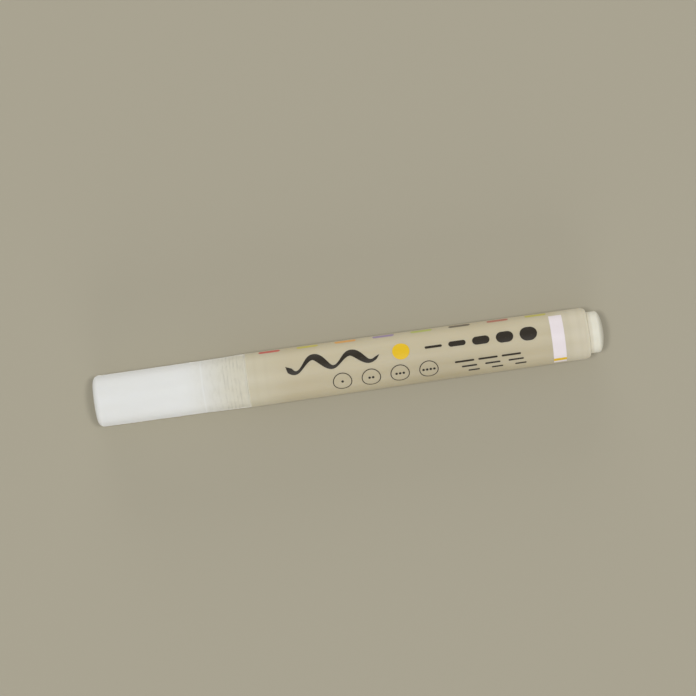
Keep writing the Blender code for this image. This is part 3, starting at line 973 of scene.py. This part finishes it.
def dab_ink():
    """A dry film in the colour that each point of the mesh carries, a little cloudy."""
    recipe = Recipe("dab_ink")
    tone = recipe.node("ShaderNodeAttribute", {"attribute_name": "ink"}, output="Color")
    thin = recipe.noise(0.5 * MM, (2, 1, 1), 4.0)
    return recipe.paint(
        Base_Color=recipe.mix(0.25 * thin, tone, linear(206, 198, 176)),
        Roughness=0.45 + 0.15 * thin,
    )


dab_stations = DAB_STATION + DAB_PITCH * np.arange(len(DAB_COLOURS))
dab_films = [bar(station, DAB_LINE, length=6 * MM, width=1.5 * MM) for station in dab_stations]
dabs = printed("colour_dabs", dab_films, dab_ink())
tones = np.array([linear(*colour) for colour in DAB_COLOURS])
point_tones = np.repeat(tones, [len(points) for points, _ in dab_films], axis=0)
dabs.data.attributes.new("ink", "FLOAT_COLOR", "POINT").data.foreach_set("color", point_tones.ravel())

# %% [markdown]
# The front section's sizes.
# The section holds the nib: a skirt pressed into the barrel, a collar whose fine ribs grip the cap, a land
# for the inner cap's lip and a cone down to the nib. Its ribs are what shows through the cap's mouth. Many
# sizes meet here, so they are measured first. Only lengths along the axis that no corner marks plainly are
# listed.

# %% Sizes of the front section
COLLAR_FRONT = 12 * MM
COLLAR_ROUND = 0.4 * MM
LAND_FRONT = 16.5 * MM
LAND_ROUND = 0.3 * MM
TIP_ROUND = 0.3 * MM
GUIDE_LENGTH = 11 * MM
CHAMBER_STEP = 0.5 * MM
CAVITY_LEAD = 0.15 * MM
CHANNEL_START = 3 * MM
CHANNEL_HALF = 0.4 * MM
CHANNEL_DEPTH = 0.4 * MM
END_WALL = 0.02 * MM

collar_rear_x = front_x - PRESS_GAP
collar_front_x = front_x - COLLAR_FRONT
land_front_x = front_x - LAND_FRONT
nib_bore = hole("front_section", section_front_x, section_front_x + PROBE)
tip_radius = rim("front_section", section_front_x, section_front_x + TIP_ROUND)
land_radius = hole("front_section", collar_front_x, collar_front_x)
collar_radius = rim("front_section", collar_rear_x, collar_rear_x)
rib_height = rim("front_section", collar_front_x, collar_rear_x) - collar_radius
skirt_radius = rim("front_section", section_rear_x - SKIRT_LEAD, section_rear_x - SKIRT_LEAD)
seal_height = rim("front_section", front_x, section_rear_x) - skirt_radius
cavity_radius = hole("front_section", section_rear_x, section_rear_x)
chamber_radius = nib_bore + CHAMBER_STEP
chamber_front_x = section_front_x + GUIDE_LENGTH
cavity_front_x = front_x - CAVITY_LEAD
channel_x = section_front_x + CHANNEL_START
print(f"nib bore {nib_bore / MM:.2f}, collar {collar_radius / MM:.2f}, rib height {rib_height / MM:.2f} mm")

# %% [markdown]
# The front section.
# Inside the section, four channels along the nib's guide carry paint forward. A Boolean could cut them, but
# leaves long thin faces, so they are carved into the turned form by pushing the radius out where the angle
# lies within a channel. The outline itself runs once round, from the skirt over the collar to the tip and
# back through the bore.

# %% Front section


def within_grooves(turn, half, radius):
    """True where a turn lies within one of four grooves, half wide to either side at this radius."""
    from_nearest = (turn + np.pi / 4) % (np.pi / 2) - np.pi / 4
    return np.abs(from_nearest) < math.asin(half / radius)


def guide_channels(x, radius, turn):
    """The nib's guide, deeper within the channels, from behind the tip's plain land to the chamber."""
    guide = (radius < nib_bore + END_WALL) & (x > channel_x)
    return radius + CHANNEL_DEPTH * (guide & within_grooves(turn, CHANNEL_HALF, nib_bore))


section_path = outline(
    (section_rear_x, cavity_radius),
    (section_rear_x, skirt_radius - SKIRT_WALL / 2),
    (section_rear_x - SKIRT_LEAD, skirt_radius),
    beads(front_x + SEAL_START + SEAL_PITCH, SEAL_PITCH, SEAL_COUNT, SEAL_WIDTH, skirt_radius, seal_height),
    (collar_rear_x, skirt_radius),
    (collar_rear_x, collar_radius),
    beads(front_x - RIB_START, RIB_PITCH, RIB_COUNT, RIB_WIDTH, collar_radius, rib_height),
    rounded(collar_front_x, collar_radius, 90, 180, COLLAR_ROUND, 8),
    (collar_front_x, land_radius),
    rounded(land_front_x, land_radius, 90, 150, LAND_ROUND, 6),
    rounded(section_front_x, tip_radius, 98, 180, TIP_ROUND, 8),
    (section_front_x, nib_bore),
    (channel_x, nib_bore),
    (channel_x + END_WALL, nib_bore),
    (chamber_front_x, nib_bore),
    (chamber_front_x + CHAMBER_STEP, chamber_radius),
    (cavity_front_x, chamber_radius),
    (cavity_front_x, cavity_radius),
)
section_plastic = milky_plastic("section_plastic", (222, 217, 200), (208, 202, 182))
section_form = turned(section_path, carve=guide_channels)
piece("section_body", *section_form, section_plastic, "barrel", "section_plastic", ["front_section"])

# %% [markdown]
# The nib.
# Compressed fibre with a bullet point. It is soaked with cream paint at the tip and dry and pale towards
# the section, with fibres that run along it. Strewn curves could be the fibres, but they are finer than a
# pixel here, so a noise drawn out along X colours and tilts the surface instead.

# %% Nib
SMALL_AROUND = 96
NIB_BULLET = 3.4 * MM
NIB_CHAMFER = 0.4 * MM
SOAKED = 3 * MM
DRY = 7.5 * MM
RAGGED = 2.4 * MM

nib_tip_x, nib_rear_x = ends("nib")
nib_radius = rim("nib", nib_tip_x, nib_rear_x)


def soaked_fibre():
    """Pale fibre with lengthwise strands, darkened and made smoother where the paint has soaked in."""
    recipe = Recipe("soaked_fibre")
    strand = recipe.noise(0.12 * MM, (9, 1, 1))
    fleck = recipe.noise(0.5 * MM)
    wet = 1 - recipe.step(recipe.along("X") + RAGGED * fleck, nib_tip_x + SOAKED, nib_tip_x + DRY)
    dry = recipe.mix(strand, linear(222, 214, 196), linear(242, 237, 224))
    return recipe.paint(
        Base_Color=recipe.mix(0.85 * wet, dry, linear(203, 191, 158)),
        Roughness=0.95 - 0.35 * wet,
        Normal=recipe.bump(strand, 0.05 * MM),
        Sheen_Weight=0.2,
        Sheen_Roughness=0.5,
    )


nib_path = outline(
    (nib_rear_x, 0),
    (nib_rear_x, nib_radius - NIB_CHAMFER),
    (nib_rear_x - NIB_CHAMFER, nib_radius),
    arc((nib_tip_x + NIB_BULLET, 0), (NIB_BULLET, nib_radius), 90, 176, 25),
    (nib_tip_x, 0),
)
piece("nib_fibre", *turned(nib_path, SMALL_AROUND), soaked_fibre(), "nib", "nib_fibre", ["nib"])

# %% [markdown]
# The valve housing.
# Behind the nib, a cup is pressed into the section. Its floor has the seat that the gasket closes on, and
# its flange stops against the section's rear end. A Bevel modifier could round its edges, but in an outline
# each round is an arc of its own size, as on the real moulding, whose rounds let it leave the tool.

# %% Valve housing
HOUSING_NOSE = 0.4 * MM
FLANGE_LENGTH = 1 * MM
SNAP_LENGTH = 0.5 * MM
SEAT_FLOOR = 1 * MM
SEAT_RIDGE = 0.25 * MM
SEAT_WIDTH = 0.4 * MM

housing_front_x, housing_rear_x = ends("valve_housing")
flange_front_x = housing_rear_x - FLANGE_LENGTH
snap_x = housing_rear_x - SNAP_LENGTH
seat_x = housing_front_x + SEAT_FLOOR
seat_hole = hole("valve_housing", housing_front_x, housing_front_x)
cup_radius = rim("valve_housing", housing_front_x, housing_front_x + HOUSING_NOSE)
flange_radius = rim("valve_housing", flange_front_x, housing_rear_x)
snap_radius = hole("valve_housing", housing_rear_x, housing_rear_x)
retainer_front_x, retainer_rear_x = ends("spring_retainer")
retainer_radius = rim("spring_retainer", retainer_front_x, retainer_rear_x)
cup_bore = retainer_radius + PRESS_GAP

housing_path = outline(
    (housing_front_x, seat_hole),
    rounded(housing_front_x, cup_radius, 180, 90, HOUSING_NOSE),
    (flange_front_x - EDGE_ROUND, cup_radius),
    (flange_front_x, cup_radius + EDGE_ROUND),
    rounded(flange_front_x, flange_radius, 180, 90),
    rounded(housing_rear_x, flange_radius, 90, 0),
    rounded(housing_rear_x, snap_radius, 0, -90),
    (snap_x, snap_radius),
    (snap_x, cup_bore),
    (seat_x + EDGE_ROUND, cup_bore),
    (seat_x, cup_bore - EDGE_ROUND),
    arc((seat_x, seat_hole + SEAT_WIDTH / 2), (SEAT_RIDGE, SEAT_WIDTH / 2), 90, -90, 9),
)
valve_plastic = milky_plastic("valve_plastic", (236, 235, 229), (228, 226, 218))
housing_form = turned(housing_path, SMALL_AROUND)
piece("valve_cup", *housing_form, valve_plastic, "barrel", "valve_plastic", ["valve_housing"])

# %% [markdown]
# The spring retainer.
# A disc snapped in behind the spring guides the stem's rod, and two crossed slots let paint past. The slots
# make its inner edge depend on the angle: the guide hole, a slot's straight side or a slot's end, whichever
# is furthest out. A Boolean could cut them, but a grid whose inner rows follow that edge needs no cutting,
# so its corners stay clean.

# %% Spring retainer
SLOT_HALF = 0.35 * MM
SLOT_RIM = 0.4 * MM

guide_radius = hole("spring_retainer", retainer_front_x, retainer_rear_x)
slot_end = retainer_radius - SLOT_RIM


def slotted_edge(steps=6):
    """Angles round the disc and its inner edge, which in each quarter is hole, slot side, end, side, hole."""
    corner = math.atan2(SLOT_HALF, slot_end)
    gate = math.asin(SLOT_HALF / guide_radius)
    knots = np.array([-np.pi / 4, -gate, -corner, corner, gate, np.pi / 4])
    share = np.linspace(0, 1, steps, endpoint=False)
    quarter = (knots[:-1, None] + np.diff(knots)[:, None] * share).ravel()
    side = SLOT_HALF / np.clip(np.abs(np.sin(quarter)), 1e-9, None)
    edge = np.maximum(guide_radius, np.minimum(side, slot_end / np.cos(quarter)))
    turns = quarter + np.pi / 2 * np.arange(4)[:, None]
    return turns.ravel(), np.tile(edge, 4)


def slotted_form():
    """A closed grid of six rows: over the bevelled rim from front to rear, and back along the inner edge."""
    turn, inner_edge = slotted_edge()
    rim_x = [retainer_front_x, retainer_front_x + EDGE_ROUND, retainer_rear_x - EDGE_ROUND, retainer_rear_x]
    rim_radius = retainer_radius - np.array([EDGE_ROUND, 0, 0, EDGE_ROUND])
    x = np.array([*rim_x, retainer_rear_x, retainer_front_x])[:, None]
    radius = np.vstack([rim_radius[:, None] + 0 * turn, inner_edge, inner_edge])
    points = about_axis(x, radius, turn).reshape(-1, 3)
    return points, outward(points, [quads(len(x), len(turn), True, True)])


piece("slotted_disc", *slotted_form(), valve_plastic, "barrel", "valve_plastic", ["spring_retainer"])

# %% [markdown]
# The valve stem.
# The stem is one turned pin: the nib pushes its front, its head carries a rubber ring that closes on the
# seat, and its rod slides in the retainer. Four flutes along the pin let paint through the seat's hole.
# They could be cut with long thin boxes, but the grooves of the nib's guide are already a formula, and it
# fits here too.

# %% Valve stem
STEM_AROUND = 144
STEM_ROUND = 0.3 * MM
FLUTE_HALF = 0.3 * MM
FLUTE_DEPTH = 0.4 * MM
NEARLY = 0.99

stem_front_x, stem_rear_x = ends("valve_stem")
stem_x, stem_reach = corners("valve_stem")
stem_head_radius = stem_reach.max()
head_places = stem_x[stem_reach > NEARLY * stem_head_radius]
head_front_x, head_rear_x = head_places.min(), head_places.max()
pin_radius = rim("valve_stem", stem_front_x, stem_front_x + STEM_ROUND)
flute_end_x = seat_x + SEAT_RIDGE


def flutes(x, radius, turn):
    """The pin, no wider than the flutes' floor within them, from its front to the seat's ridge."""
    fluted = (x <= flute_end_x) & within_grooves(turn, FLUTE_HALF, pin_radius)
    return np.where(fluted, np.minimum(radius, pin_radius - FLUTE_DEPTH), radius)


stem_path = outline(
    (stem_front_x, 0),
    rounded(stem_front_x, pin_radius, 180, 90, STEM_ROUND),
    (flute_end_x, pin_radius),
    (flute_end_x + END_WALL, pin_radius),
    (head_front_x, pin_radius),
    rounded(head_front_x, stem_head_radius, 180, 90),
    rounded(head_rear_x, stem_head_radius, 90, 0),
    (head_rear_x, pin_radius + EDGE_ROUND),
    (head_rear_x + EDGE_ROUND, pin_radius),
    rounded(stem_rear_x, pin_radius, 90, 0, STEM_ROUND),
    (stem_rear_x, 0),
)
stem_form = turned(stem_path, STEM_AROUND, flutes)
piece("stem_pin", *stem_form, valve_plastic, "nib", "valve_plastic", ["valve_stem"])

# %% [markdown]
# The gasket.
# A rubber ring on the stem's head makes the valve tight. Blender has a torus ready, but this ring is
# moulded with a square section and rounded corners, so it is turned from four small arcs.

# %% Gasket
GASKET_AROUND = 72


def seal_rubber():
    """Black rubber: a dusty bloom in soft patches on a dull, faintly pebbled skin."""
    recipe = Recipe("seal_rubber")
    bloom = recipe.noise(0.6 * MM)
    return recipe.paint(
        Base_Color=recipe.mix(bloom, linear(44, 44, 42), linear(62, 61, 58)),
        Roughness=0.65 + 0.2 * bloom,
        Normal=recipe.bump(recipe.noise(0.08 * MM), 0.01 * MM),
    )


gasket_front_x, gasket_rear_x = ends("valve_gasket")
gasket_rim = rim("valve_gasket", gasket_front_x, gasket_rear_x)
gasket_bore = hole("valve_gasket", gasket_front_x, gasket_rear_x)
gasket_path = outline(
    rounded(gasket_front_x, gasket_bore, 270, 180),
    rounded(gasket_front_x, gasket_rim, 180, 90),
    rounded(gasket_rear_x, gasket_rim, 90, 0),
    rounded(gasket_rear_x, gasket_bore, 0, -90),
)
gasket_form = turned(gasket_path, GASKET_AROUND)
piece("gasket_ring", *gasket_form, seal_rubber(), "nib", "seal_rubber", ["valve_gasket"])

# %% [markdown]
# Drawn wire.
# Spring wire is steel that is pulled through a die, which leaves fine lines along it, and in a marker it
# gets a thin film of dried paint. A plain metal would be quick, but its clean shine looks wrong beside
# paint, so a noise decides where the film hides the steel.

# %% Drawn wire


def drawn_wire():
    """Spring steel: bright, with fine draw lines and a thin film of dried paint here and there."""
    recipe = Recipe("drawn_wire")
    dried = recipe.step(recipe.noise(1.2 * MM), 0.58, 0.7)
    line = recipe.noise(0.07 * MM, (1, 6, 6))
    return recipe.paint(
        Base_Color=recipe.mix(0.6 * dried, linear(190, 190, 188), linear(203, 191, 158)),
        Metallic=1 - 0.8 * dried,
        Roughness=0.22 + 0.15 * line + 0.25 * dried,
        Normal=recipe.bump(line, 0.004 * MM),
    )


spring_wire = drawn_wire()
print("made the spring's wire finish")

# %% [markdown]
# The valve spring. A coil of round wire: a circle carried along a helix. The Screw modifier gives an even
# pitch only, but the end turns of a real compression spring close up and lie flat, so here the way along
# the axis is slow at both ends and quick in the middle.

# %% Valve spring
SPRING_WIRE = 0.5 * MM
SPRING_TURNS = 5
CLOSING = 0.11

joints = {joint["name"]: joint for joint in frame["record"]["behaviour"]["joints"]}
NIB_TRAVEL = joints["nib_press"]["range_m"][1]
spring_front_x, spring_rear_x = ends("valve_spring")
spring_length = spring_rear_x - spring_front_x
coil_radius = rim("valve_spring", spring_front_x, spring_rear_x) - SPRING_WIRE / 2


def coil(steps=360, sides=14):
    """A tube round a helix: wire radius times (radial, binormal) about each point of it, with closed ends."""
    way = np.linspace(0, 1, steps)
    turn = 2 * np.pi * SPRING_TURNS * way
    eased = way - CLOSING * np.sin(2 * np.pi * way)
    x = spring_front_x + SPRING_WIRE / 2 + (spring_length - SPRING_WIRE) * eased
    middle = about_axis(x, coil_radius, turn)
    radial = np.stack([0 * turn, np.sin(turn), np.cos(turn)], -1)
    tangent = np.gradient(middle, axis=0)
    tangent /= np.linalg.norm(tangent, axis=1, keepdims=True)
    binormal = np.cross(tangent, radial)
    side = np.linspace(0, 2 * np.pi, sides, endpoint=False)[:, None]
    spoke = np.cos(side) * radial[:, None] + np.sin(side) * binormal[:, None]
    wall = (middle[:, None] + SPRING_WIRE / 2 * spoke).reshape(-1, 3)
    points = np.vstack([wall, middle[[0, -1]]])
    first = np.arange(sides)
    end_fans = fans(len(wall), first, len(wall) + 1, first + (steps - 1) * sides)
    return points, outward(points, [quads(steps, sides, False, True), *end_fans])


spring = piece("spring_coil", *coil(), spring_wire, "barrel", "spring_wire", ["valve_spring"])
(spring_length - NIB_TRAVEL) / spring_length
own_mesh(spring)

# %% [markdown]
# The mixing ball.
# A loose steel ball stirs the paint when the marker is shaken. A ready-made sphere would do, but a half
# circle turned about its own axis goes through the same lines as the rest. That axis lies low in the
# barrel, so the turned points are moved down to it. Ground steel is bright, and paint clings to it in thin
# films.

# %% Mixing ball
ball_low, ball_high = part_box("mixing_ball")
ball_centre = (ball_low + ball_high) / 2
ball_radius = (ball_high.x - ball_low.x) / 2


def ground_steel():
    """Mirror-bright steel with fine grinding marks, dulled where a film of paint has dried on it."""
    recipe = Recipe("ground_steel")
    dried = recipe.step(recipe.noise(1.6 * MM, detail=4.0), 0.55, 0.68)
    mark = recipe.noise(0.06 * MM, (1, 1, 8))
    return recipe.paint(
        Base_Color=recipe.mix(0.75 * dried, linear(198, 198, 200), linear(203, 191, 158)),
        Metallic=1 - 0.85 * dried,
        Roughness=0.1 + 0.08 * mark + 0.4 * dried,
        Normal=recipe.bump(mark, 0.002 * MM),
    )


ball_path = arc((ball_centre.x, 0), (ball_radius, ball_radius), 180, 0, 49)
ball_path[[0, -1], 1] = 0
ball_points, ball_faces = turned(ball_path, SMALL_AROUND)
ball_points[:, 2] += ball_centre.z - axis_z
piece("steel_ball", ball_points, ball_faces, ground_steel(), "mixing_ball", "ball_steel", ["mixing_ball"])

# %% [markdown]
# The floor.
# The marker lies on a plain matt sheet. A curved backdrop is usual in a studio, but seen from above a flat
# sheet is enough, as long as it reaches past every view.

# %% Floor
FLOOR_HALF = 4.0

floor_paper = Recipe("floor_paper").paint(
    Base_Color=linear(169, 163, 145),
    Roughness=0.95,
    Specular_IOR_Level=0.1,
)
floor_mesh = bpy.data.meshes.new("floor")
floor_mesh.from_pydata(
    [(FLOOR_HALF * a, FLOOR_HALF * b, 0) for a, b in ((-1, -1), (1, -1), (1, 1), (-1, 1))],
    [],
    [(0, 1, 2, 3)],
)
floor_mesh.materials.append(floor_paper)
floor = bpy.data.objects.new("floor", floor_mesh)
bpy.context.scene.collection.objects.link(floor)
print("floor of", 2 * FLOOR_HALF, "m a side")

# %% [markdown]
# The light.
# An even, pale sky and four lamps light the marker softly. Area lamps would be the studio's way, but near
# ones leave bright pools on the floor, so these stand so far off that they light the whole floor alike. Two
# high ones lean along the marker, so that their shadows hide under it and no glare runs along its back, and
# two broad low ones light its flanks.

# %% Light
SKY_LIGHT = 0.34
HIGH_LIGHT = 0.886
HIGH_LEAN = math.radians(14)
HIGH_WIDTH = math.radians(9)
LOW_LIGHT = 1.08
LOW_RISE = math.radians(8)
LOW_WIDTH = math.radians(40)

world = bpy.data.worlds.new("pale_sky")
world.use_nodes = True
world.node_tree.nodes["Background"].inputs["Color"].default_value = (1.0, 1.0, 1.0, 1.0)
world.node_tree.nodes["Background"].inputs["Strength"].default_value = SKY_LIGHT
bpy.context.scene.world = world


def far_lamp(name, towards, strength, width):
    """A lamp far off in one direction, whose light spreads over an angle and falls alike everywhere."""
    light = bpy.data.lights.new(name, "SUN")
    light.energy = strength
    light.angle = width
    lamp = bpy.data.objects.new(name, light)
    lamp.rotation_euler = Vector(towards).to_track_quat("Z", "Y").to_euler()
    bpy.context.scene.collection.objects.link(lamp)
    print(f"{name}: {strength} over {math.degrees(width):.0f} degrees")


for name, side in (("cap_light", -1), ("tail_light", 1)):
    far_lamp(name, (side * math.sin(HIGH_LEAN), 0, math.cos(HIGH_LEAN)), HIGH_LIGHT, HIGH_WIDTH)
for name, side in (("back_light", 1), ("front_light", -1)):
    far_lamp(name, (0, side * math.cos(LOW_RISE), math.sin(LOW_RISE)), LOW_LIGHT, LOW_WIDTH)

# %% [markdown]
# The camera.
# It looks straight down, turned a little so that the marker climbs to the right. Its place could be found
# by trial, but the photograph's scale gives it: so many pixels to the metre, and so many pixels between the
# middle of the picture and that of the marker. A long lens makes the view almost flat, as it is there.

# %% Camera
PHOTO_WIDTH = 696
PIXELS_PER_METRE = 3606
MARKER_RIGHT = 1.3
MARKER_BELOW = 18.3
TILT = math.radians(8)
LENS = 150
SENSOR = 36
SIGHT = 20

picture_width = PHOTO_WIDTH / PIXELS_PER_METRE
distance = picture_width * LENS / SENSOR
right = np.array([math.cos(TILT), -math.sin(TILT), 0])
up = np.array([math.sin(TILT), math.cos(TILT), 0])
aim = (MARKER_BELOW * up - MARKER_RIGHT * right) / PIXELS_PER_METRE

lens = bpy.data.cameras.new("camera")
lens.lens = LENS
lens.sensor_width = SENSOR
lens.clip_end = SIGHT
camera = bpy.data.objects.new("camera", lens)
camera.location = (aim[0], aim[1], axis_z + distance)
camera.rotation_euler = (0, 0, -TILT)
bpy.context.scene.collection.objects.link(camera)
bpy.context.scene.camera = camera
bpy.context.scene.view_settings.view_transform = "Standard"
print(f"camera {distance:.3f} m above the axis")
